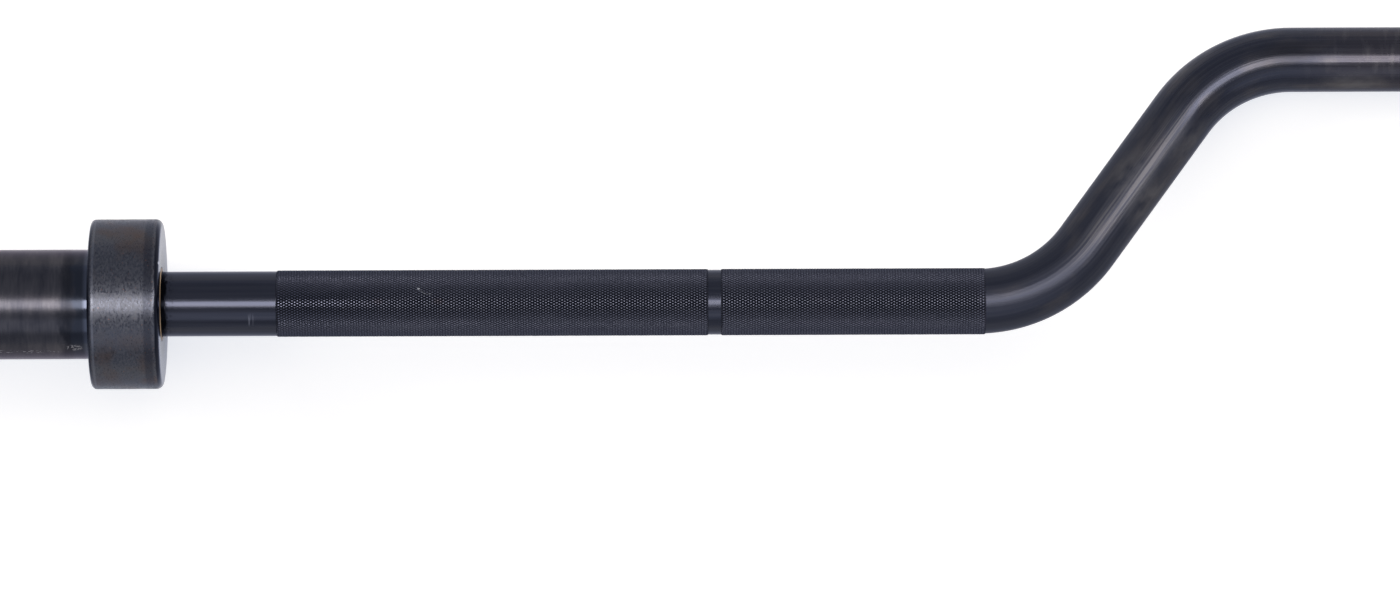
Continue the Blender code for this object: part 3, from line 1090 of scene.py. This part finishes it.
@dataclass
class BentShaft:
    """The bent bar with its smooth neck, its ring marks and, inside the sleeves, its turned-down journals.

    Its places beyond the neck are distances outwards from the collar's inner face.
    """

    sides: int = 112
    bend_steps: int = 30
    edge: float = 0.00025
    core_radius: float = 0.0143
    knurl_reach: float = 0.0034
    ring_marks_apart: float = 0.810
    ring_mark_width: float = 0.006
    journal_radius: float = 0.0125
    groove_radius: float = 0.0115
    shoulder: float = 0.3915
    groove: Span = (0.4264, 0.4282)
    end: float = 0.4322
    line: CamberLine = field(default_factory=CamberLine)

    @property
    def grips(self) -> tuple[Span, Span]:
        """Start and end of the inner and the outer knurled grip along X."""
        mark = self.ring_marks_apart / 2
        half = self.ring_mark_width / 2
        neck = LAYOUT.inner_face - LAYOUT.smooth_neck
        return (self.line.foot - self.knurl_reach, mark - half), (mark + half, neck)

    def build(self) -> Piece:
        """Grows half of the shaft from the raised middle and mirrors it.

        Returns:
            The shaft in its place, with the unbent place of each point kept as an attribute.
        """
        line = self.line
        radius = LAYOUT.shaft_radius
        face = LAYOUT.inner_face
        half = RoundBlank("bent_shaft_bar", Vector((0, line.depth, 0)), radius, self.sides)
        half.grow(line.top_run)
        half.bend(-line.angle, line.bend_radius, self.bend_steps)
        half.grow(line.slope_run)
        half.bend(line.angle, line.bend_radius, self.bend_steps)
        for start, stop in self.grips:
            half.step_at(max(start, half.centre.x), self.core_radius)
            half.step_at(stop, radius)
        half.step_at(face + self.shoulder, self.journal_radius)
        half.step_at(face + self.groove[0], self.groove_radius)
        half.step_at(face + self.groove[1], self.journal_radius)
        half.grow_to(face + self.end)
        half.cap()
        shaft = half.finish(self.edge)
        apply_modifier(shaft, "MIRROR", {"use_axis": (True, False, False), "merge_threshold": 0.01 * MM})
        places = shaft.data.attributes.new("bar_place", "FLOAT_VECTOR", "POINT")
        for vertex, place in zip(shaft.data.vertices, places.data):
            place.vector = line.unbend(vertex.co)
        weight_shading(shaft)
        place_piece(shaft, LAYOUT.axis, (-LAYOUT.tilt, 0, 0))
        return shaft

    def dress(self, shaft: Piece) -> None:
        """Gives the shaft its finish and its body."""
        hand_over(shaft, SHAFT_OXIDE, "shaft", Body.SHAFT)


@dataclass
class KnurledGrip:
    """A zone of cut diamond knurling: pyramids between two crossing sets of grooves.

    Wear varies along and round the grip, and pulls a crest in or leaves it proud by up to the unevenness.
    """

    name: str
    start: float
    stop: float
    valley_radius: float = 0.01477
    crest_radius: float = 0.01515
    diamond_length: float = 0.00245
    diamonds_round: int = 74
    crest_share: float = 0.34
    inner_radius: float = 0.0137
    unevenness: float = 0.00003
    wear: float = 0.4
    wear_waves: float = 700.0
    end_height: float = 0.00008

    def build(self) -> Piece:
        """Cuts one repeat of the diamonds, lays repeats out as a flat sheet and rolls the sheet up.

        Returns:
            A closed ring of knurling on the sleeves' axis.
        """
        length = self.stop - self.start
        count = round(length / self.diamond_length)
        piece = self._cut_repeat(length / count)
        merging = {"use_merge_vertices": True, "merge_threshold": 0.002 * MM}
        for number, direction in ((count, (1, 0, 0)), (self.diamonds_round, (0, 1, 0))):
            settings = {"count": number, "relative_offset_displace": direction, **merging}
            apply_modifier(piece, "ARRAY", settings)
        self._roll_up(piece)
        self._close_ends(piece)
        self._wear_crests(piece, length)
        place_piece(piece, LAYOUT.axis + Vector((self.start, 0, 0)))
        return piece

    def _cut_repeat(self, pitch: float) -> Piece:
        """Makes one repeat: a turned grid of squares, inset to pyramids, stretched and trimmed.

        Args:
            pitch: Length of a diamond along the bar.

        Returns:
            A flat patch that is one diamond long and one wide.
        """
        width = 2 * math.pi * self.valley_radius / self.diamonds_round
        grid = math.sqrt(8)
        bpy.ops.object.select_all(action="DESELECT")
        bpy.ops.mesh.primitive_grid_add(x_subdivisions=4, y_subdivisions=4, size=grid, location=ORIGIN)
        piece = bpy.context.object
        rename(piece, self.name)
        place_piece(piece, ORIGIN, (0, 0, math.pi / 4))
        start_editing()
        depth = self.crest_radius - self.valley_radius
        bpy.ops.mesh.inset(thickness=(1 - self.crest_share) / grid, depth=depth, use_individual=True)
        bpy.ops.mesh.select_all(action="SELECT")
        bpy.ops.transform.resize(value=(pitch, width, 1), center_override=ORIGIN)
        for direction, reach in (((1, 0, 0), pitch / 2), ((0, 1, 0), width / 2)):
            for sign in (-1, 1):
                normal = Vector(direction) * sign
                bpy.ops.mesh.select_all(action="SELECT")
                cut = normal * reach
                bpy.ops.mesh.bisect(plane_co=cut, plane_no=normal, clear_outer=True, threshold=1e-7)
        bpy.ops.object.mode_set(mode="OBJECT")
        return piece

    def _roll_up(self, piece: Piece) -> None:
        """Stands the sheet on edge, bends it to a full ring and joins the seam.

        Args:
            piece: The flat sheet of diamonds.
        """
        corners = [Vector(corner) for corner in piece.bound_box]
        low = Vector(map(min, zip(*corners)))
        high = Vector(map(max, zip(*corners)))
        place_piece(piece, Vector((-low.x, -(low.y + high.y) / 2, 0)))
        place_piece(piece, ORIGIN, (math.pi / 2, 0, 0))
        bending = {"deform_method": "BEND", "deform_axis": "X", "angle": 2 * math.pi}
        apply_modifier(piece, "SIMPLE_DEFORM", bending)
        place_piece(piece, Vector((0, -self.valley_radius, 0)))
        start_editing()
        bpy.ops.mesh.remove_doubles(threshold=0.004 * MM)
        bpy.ops.object.mode_set(mode="OBJECT")

    def _close_ends(self, piece: Piece) -> None:
        """Draws both ends in to the core and joins them inside.

        Args:
            piece: The rolled sheet.
        """
        choose(piece)
        bpy.ops.object.mode_set(mode="EDIT")
        select_open_edges()
        factor = self.inner_radius / self.crest_radius
        bpy.ops.mesh.extrude_region_move(TRANSFORM_OT_translate={"value": ORIGIN})
        bpy.ops.transform.resize(value=(1, factor, factor), center_override=ORIGIN)
        bpy.ops.mesh.bridge_edge_loops()
        end_editing()
        bpy.ops.object.shade_flat()

    def _wear_crests(self, piece: Piece, length: float) -> None:
        """Makes the crests slightly uneven, and runs them out at both ends as the turned chamfer does.

        Args:
            piece: The closed ring of knurling.
            length: Length of the ring.
        """
        middle = (self.valley_radius + self.crest_radius) / 2
        for vertex in piece.data.vertices:
            across = Vector((0, vertex.co.y, vertex.co.z))
            radius = across.length
            if radius < middle:
                continue
            limit = radius + self.unevenness * (noise.noise(vertex.co * self.wear_waves) - self.wear)
            to_end = min(vertex.co.x, length - vertex.co.x)
            limit = min(limit, self.valley_radius + self.end_height + to_end)
            vertex.co += across * (limit / radius - 1)

    def dress(self, piece: Piece) -> None:
        """Gives the grip its finish and its body."""
        hand_over(piece, KNURL_OXIDE, "shaft", Body.SHAFT)


@dataclass
class Sleeve:
    """A plate sleeve: tube, shoulder collar, collar bushing, end cap and the ring that holds the cap.

    Places are distances outwards from the collar's inner face. The centre mark is given as depths below the
    cap's dished floor and radii, and the knocks in the collar's barrel by their depth and number per metre.
    """

    sides: int = 128
    edge: float = 0.0002
    tube_radius: float = 0.025
    bore_radius: float = 0.017
    tube_start: float = 0.0028
    tube_end: float = 0.4436
    tube_chamfer: float = 0.0015
    cap_seat: float = 0.4342
    cap_seat_radius: float = 0.020
    snap_groove: Span = (0.4395, 0.4416)
    snap_groove_radius: float = 0.0212
    snap_ring_wall: float = 0.0028
    snap_ring_opening: float = math.radians(30)
    snap_ring_steps: int = 96
    snap_ring_edge: float = 0.00015
    cap_span: Span = (0.4345, 0.4395)
    cap_chamfer: float = 0.0006
    cap_edge: float = 0.00012
    cap_dish_radius: float = 0.015
    cap_dish_depth: float = 0.001
    centre_mark: tuple[Span, ...] = ((0.0, 0.0021), (0.0012, 0.0009), (0.0022, 0.0008))
    corner_radii: Span = (0.0030, 0.0022)
    corner_steps: int = 6
    collar_lip: float = 0.0025
    collar_fillet: float = 0.0008
    fillet_start: float = 0.0003
    fillet_steps: int = 4
    collar_rows: int = 24
    knock_depth: float = 0.00007
    knocks: float = 90.0
    dish_depth: float = 0.0006
    dish_radius: float = 0.030
    bushing_radius: float = 0.0167
    bushing_bore: float = 0.0151
    bushing_span: Span = (0.0003, 0.0394)
    bushing_chamfer: float = 0.0004
    bushing_edge: float = 0.0001

    def build_tube(self) -> Piece:
        """Turns the tube with the seat and groove for its cap.

        Returns:
            The tube, on X and with its places from the collar's inner face.
        """
        seat = self.cap_seat_radius
        near, far = self.snap_groove
        outline = [
            (self.tube_start, self.bore_radius),
            (self.cap_seat, self.bore_radius),
            (self.cap_seat, seat),
            (near, seat),
            (near, self.snap_groove_radius),
            (far, self.snap_groove_radius),
            (far, seat),
            (self.tube_end, seat),
            (self.tube_end, self.tube_radius - self.tube_chamfer),
            (self.tube_end - self.tube_chamfer, self.tube_radius),
            (self.tube_start, self.tube_radius),
        ]
        tube = turned_ring("turned_sleeve_tube", outline, self.sides, self.edge)
        weight_shading(tube)
        return tube

    def build_collar(self) -> Piece:
        """Turns the shoulder collar, in rows that are close enough to carry its uneven barrel.

        Returns:
            The collar, placed as the tube is.
        """
        radius, width = LAYOUT.collar_radius, LAYOUT.collar_width
        bore = self.tube_radius + LAYOUT.gap
        near, far = self.corner_radii
        quarter = math.pi / 2
        turns = [quarter * step / self.corner_steps for step in range(self.corner_steps + 1)]
        outline = [(self.dish_depth, self.bore_radius), (0, self.dish_radius)]
        corner = [(1 - math.sin(turn), 1 - math.cos(turn)) for turn in turns]
        outline += [(near * along, radius - near * across) for along, across in reversed(corner)]
        row = (width - near - far) / self.collar_rows
        outline += [(near + row * number, radius) for number in range(1, self.collar_rows)]
        outline += [(width - far * along, radius - far * across) for along, across in corner]
        fillet, foot = self.collar_fillet, bore + self.fillet_start
        turns = [quarter * step / self.fillet_steps for step in range(self.fillet_steps + 1)]
        for turn in turns:
            outline.append((width + fillet * (1 - math.cos(turn)), foot + fillet * (1 - math.sin(turn))))
        outline += [(width + fillet, bore), (self.collar_lip, bore), (self.collar_lip, self.bore_radius)]
        collar = turned_ring("turned_shoulder_collar", outline, self.sides, self.edge)
        self._knock(collar)
        weight_shading(collar)
        return collar

    def _knock(self, collar: Piece) -> None:
        """Sinks the barrel by small uneven amounts, as knocks and rough turning leave it.

        Args:
            collar: The turned collar.
        """
        for vertex in collar.data.vertices:
            across = Vector((0, vertex.co.y, vertex.co.z))
            if across.length < LAYOUT.collar_radius - MM:
                continue
            wave = noise.fractal(vertex.co * self.knocks, 1.0, 2.0, 3)
            vertex.co -= across.normalized() * self.knock_depth * max(0.0, 0.5 + wave)

    def build_bushing(self) -> Piece:
        """Turns the bushing that runs on the shaft, whose chamfered end shows at the collar's inner face.

        Returns:
            The bushing, placed as the tube is.
        """
        start, stop = self.bushing_span
        chamfer, radius = self.bushing_chamfer, self.bushing_radius
        outline = [
            (start, self.bushing_bore),
            (stop, self.bushing_bore),
            (stop, radius - chamfer),
            (stop - chamfer, radius),
            (start + chamfer, radius),
            (start, radius - chamfer),
        ]
        bushing = turned_ring("turned_collar_bushing", outline, self.sides, self.bushing_edge)
        weight_shading(bushing)
        return bushing

    def build_cap(self) -> Piece:
        """Turns the dished cap with a centre-drilled mark in its middle.

        Returns:
            The cap, placed as the tube is.
        """
        start, stop = self.cap_span
        chamfer = self.cap_chamfer
        radius = self.cap_seat_radius - LAYOUT.gap
        floor = stop - self.cap_dish_depth
        blank = RoundBlank("turned_end_cap", Vector((start, 0, 0)), radius - chamfer, self.sides)
        blank.grow_to(start + chamfer, radius)
        blank.grow_to(stop - chamfer, radius)
        blank.grow_to(stop, radius - chamfer)
        blank.grow_to(stop, self.cap_dish_radius)
        blank.grow_to(floor, self.cap_dish_radius - self.cap_dish_depth)
        for depth, ring in self.centre_mark:
            blank.grow_to(floor - depth, ring)
        blank.cap()
        blank.cap_start()
        cap = blank.finish(self.cap_edge)
        weight_shading(cap)
        return cap

    def build_snap_ring(self) -> Piece:
        """Spins a square section most of the way round, which leaves the ring's gap.

        Returns:
            The ring, placed as the tube is.
        """
        outer = self.snap_groove_radius - LAYOUT.gap
        start, stop = (place + sign * LAYOUT.gap for place, sign in zip(self.snap_groove, (1, -1)))
        bpy.ops.object.select_all(action="DESELECT")
        bpy.ops.mesh.primitive_plane_add(size=1, location=ORIGIN, rotation=(math.pi / 2, 0, 0))
        ring = bpy.context.object
        rename(ring, "spring_snap_ring")
        ring.scale = (stop - start, self.snap_ring_wall, 1)
        bpy.ops.object.transform_apply(location=False, rotation=True, scale=True)
        place_piece(ring, Vector(((start + stop) / 2, 0, outer - self.snap_ring_wall / 2)))
        ring.data.transform(Matrix.Rotation(self.snap_ring_opening / 2, 4, "X"))
        start_editing()
        sweep = 2 * math.pi - self.snap_ring_opening
        bpy.ops.mesh.spin(steps=self.snap_ring_steps, angle=-sweep, center=ORIGIN, axis=(1, 0, 0))
        break_edges(self.snap_ring_edge)
        end_editing()
        bpy.ops.object.shade_smooth_by_angle(angle=SMOOTH_UP_TO)
        return ring

    def fit(self, piece: Piece, node: str, finish: Finish) -> None:
        """Puts a piece and its copy on the two ends of the bar and dresses them.

        Args:
            piece: The piece, on X and with its places from the collar's inner face.
            node: Name of the CAD node after its side.
            finish: Its surface.
        """
        name = piece.name
        place_piece(piece, LAYOUT.axis + Vector((LAYOUT.inner_face, 0, 0)))
        twin = opposite_copy(piece, f"{Side.LEFT.label}_{name}")
        rename(piece, f"{Side.RIGHT.label}_{name}")
        for end, side in ((twin, Side.LEFT), (piece, Side.RIGHT)):
            hand_over(end, finish, f"{side.label}_{node}", Body.sleeve(side))

    def build(self) -> None:
        """Makes every piece of a sleeve that shows and fits it at both ends."""
        self.fit(self.build_tube(), "sleeve_tube", SLEEVE_OXIDE)
        self.fit(self.build_collar(), "shoulder_collar", COLLAR_OXIDE)
        self.fit(self.build_bushing(), "collar_bushing", BRONZE)
        self.fit(self.build_cap(), "end_cap", SLEEVE_OXIDE)
        self.fit(self.build_snap_ring(), "end_cap_snap_ring", SPRING)


@dataclass
class HiddenBearings:
    """The bearing parts inside the sleeves, which keep their CAD shape."""

    finishes: dict[str, Finish] = field(
        default_factory=lambda: {
            "end_bushing": BRONZE,
            "shoulder_thrust_washer": BRONZE,
            "end_thrust_washer": BRONZE,
            "shaft_retaining_ring": SPRING,
        }
    )

    def dress(self, nodes: dict[str, Piece]) -> None:
        """Puts a finish in the material slots of each part.

        Args:
            nodes: The frame's CAD nodes by name.
        """
        for side in Side:
            for part, finish in self.finishes.items():
                cad = nodes[f"{side.label}_{part}"]
                for slot in cad.material_slots:
                    slot.material = finish.material()
                LOG.info("%s: %s on the CAD shape", cad.name, finish.name)


def facing_axis(offset: Vector) -> Triple:
    """Finds the turn that faces a lamp at this offset to the sleeves' axis."""
    return tuple((-offset).to_track_quat("-Z", "Y").to_euler())


def hang_light(kind: str, name: str, offset: Vector, rotation: Triple) -> Piece:
    """Adds a light.

    Args:
        kind: Blender's name for the light type.
        name: Name of the lamp.
        offset: Its place from the sleeves' axis.
        rotation: Euler angles that turn it from facing straight down.

    Returns:
        The lamp.
    """
    bpy.ops.object.select_all(action="DESELECT")
    bpy.ops.object.light_add(type=kind, location=LAYOUT.axis + offset, rotation=rotation)
    lamp = bpy.context.object
    lamp.name = name
    return lamp


@dataclass(frozen=True)
class PanelLamp:
    """A soft panel lamp over the bar. Its radiance is its brightness, where 1 is paper white.

    It faces the middle of the sleeves' axis, or straight down, turned by an angle in plan.
    """

    name: str
    size: Span
    radiance: float
    offset: Triple
    turn: float | None = None
    tint: str = "#ffffff"
    lights_paper: bool = True
    shows_in_metal: bool = True

    def hang(self) -> None:
        """Hangs the lamp at its offset from the axis."""
        offset = Vector(self.offset)
        rotation = facing_axis(offset) if self.turn is None else (0, 0, self.turn)
        lamp = hang_light("AREA", self.name, offset, rotation)
        lamp.data.shape = "RECTANGLE"
        lamp.data.size, lamp.data.size_y = self.size
        lamp.data.energy = self.radiance * self.size[0] * self.size[1] * math.pi
        lamp.data.color = linear(self.tint)[:3]
        lamp.visible_camera = False
        lamp.visible_diffuse = self.lights_paper
        lamp.visible_glossy = self.shows_in_metal


@dataclass(frozen=True)
class FarLamp:
    """A wide, far light on the paper alone. It has no edge, so its light ends nowhere on the floor."""

    name: str
    strength: float
    direction: Triple
    width: float = math.radians(40)

    def hang(self) -> None:
        """Hangs the lamp in its direction from the axis."""
        direction = Vector(self.direction)
        lamp = hang_light("SUN", self.name, direction, facing_axis(direction))
        lamp.data.energy = self.strength
        lamp.data.angle = self.width
        lamp.visible_glossy = False


@dataclass
class Studio:
    """The floor, the lamps, the white surround and the camera."""

    floor_width: float = 40.0
    camera_height: float = 3.919
    camera_x: float = -0.41163
    camera_above_axis: float = 0.001
    frame_width: float = 0.6384
    sensor_width: float = 36.0
    roll: float = math.radians(0.2036)
    lamps: tuple[PanelLamp | FarLamp, ...] = (
        PanelLamp("left_strip", (1.25, 0.58), 9.7, (-0.825, 0.0, 2.0), 0.0, "#fffaf6", lights_paper=False),
        PanelLamp(
            "right_strip",
            (2.03, 0.58),
            9.7,
            (0.75, 0.357, 2.0),
            math.radians(20.6),
            "#fffaf6",
            lights_paper=False,
        ),
        PanelLamp("front_card", (3.2, 1.1), 0.8, (0.0, -1.5, 1.5), tint="#f1f5ff", lights_paper=False),
        PanelLamp("overhead_panel", (3.2, 2.0), 1.35, (-0.4, 0.3, 1.5), shows_in_metal=False),
        FarLamp("low_left_window", 3.8, (-2.1, 1.2, 0.77)),
    )
    room_light: float = 0.1
    surround: str = "#eef2ff"
    zenith: float = 0.75
    zenith_from: float = 0.3

    def lay_floor(self) -> None:
        """Lays a wide sheet of paper under the bar."""
        bpy.ops.object.select_all(action="DESELECT")
        bpy.ops.mesh.primitive_plane_add(size=self.floor_width, location=ORIGIN)
        floor = bpy.context.object
        rename(floor, "floor_paper")
        floor.data.materials.append(StudioPaper().material())

    def surround_with_white(self) -> None:
        """Sets a surround that is white to the camera and a little darker overhead in the metal."""
        world = bpy.data.worlds.new("studio_surround")
        bpy.context.scene.world = world
        world.use_nodes = True
        tree = world.node_tree
        direction = add_node(tree, "ShaderNodeTexCoord").outputs["Generated"]
        parts = add_node(tree, "ShaderNodeSeparateXYZ", None, {0: direction})
        fade = {"From Min": 0.0, "From Max": self.zenith_from, "To Min": 1.0, "To Max": self.zenith}
        room = add_node(tree, "ShaderNodeMapRange", fade, {"Value": parts.outputs["Z"]})
        rays = add_node(tree, "ShaderNodeLightPath").outputs
        seen = rays["Is Camera Ray"]
        shiny = Painter(tree).strongest(rays["Is Glossy Ray"], rays["Is Transmission Ray"])
        level = add_node(tree, "ShaderNodeMix", {"A": self.room_light}, {"Factor": shiny, "B": room})
        level = add_node(tree, "ShaderNodeMix", {"B": 1.0}, {"Factor": seen, "A": level})
        white = {"data_type": "RGBA", "A": self.surround, "B": "#ffffff"}
        tint = add_node(tree, "ShaderNodeMix", white, {"Factor": seen})
        back = tree.nodes["Background"]
        tree.links.new(tint.outputs[2], back.inputs["Color"])
        tree.links.new(level.outputs[0], back.inputs["Strength"])

    def place_camera(self) -> None:
        """Sets the camera straight above the bar, as in the photograph."""
        data = bpy.data.cameras.new("camera")
        camera = bpy.data.objects.new("camera", data)
        bpy.context.scene.collection.objects.link(camera)
        axis = LAYOUT.axis
        camera.location = (self.camera_x, axis.y + self.camera_above_axis, axis.z + self.camera_height)
        camera.rotation_euler = (0, 0, -self.roll)
        data.sensor_width = self.sensor_width
        data.lens = self.sensor_width * self.camera_height / self.frame_width
        data.clip_end = 100
        bpy.context.scene.camera = camera

    def build(self) -> None:
        """Sets up everything round the bar."""
        self.lay_floor()
        for lamp in self.lamps:
            lamp.hang()
        self.surround_with_white()
        self.place_camera()
        bpy.context.scene.view_settings.view_transform = "Standard"


def build_grips(shaft: BentShaft) -> None:
    """Makes the two knurled grips of one side, and copies them to the other."""
    for place, (start, stop) in zip(("inner", "outer"), shaft.grips):
        grip = KnurledGrip(f"{Side.RIGHT.label}_{place}_knurled_grip", start, stop)
        piece = grip.build()
        twin = opposite_copy(piece, f"{Side.LEFT.label}_{place}_knurled_grip")
        grip.dress(piece)
        grip.dress(twin)


def main() -> None:
    """Builds the bar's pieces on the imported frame, dresses them and sets up the studio."""
    logging.basicConfig(level=logging.INFO, format="%(message)s")
    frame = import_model()
    shaft = BentShaft()
    shaft.dress(shaft.build())
    build_grips(shaft)
    Sleeve().build()
    HiddenBearings().dress(frame["nodes"])
    Studio().build()


if __name__ == "__main__":
    main()
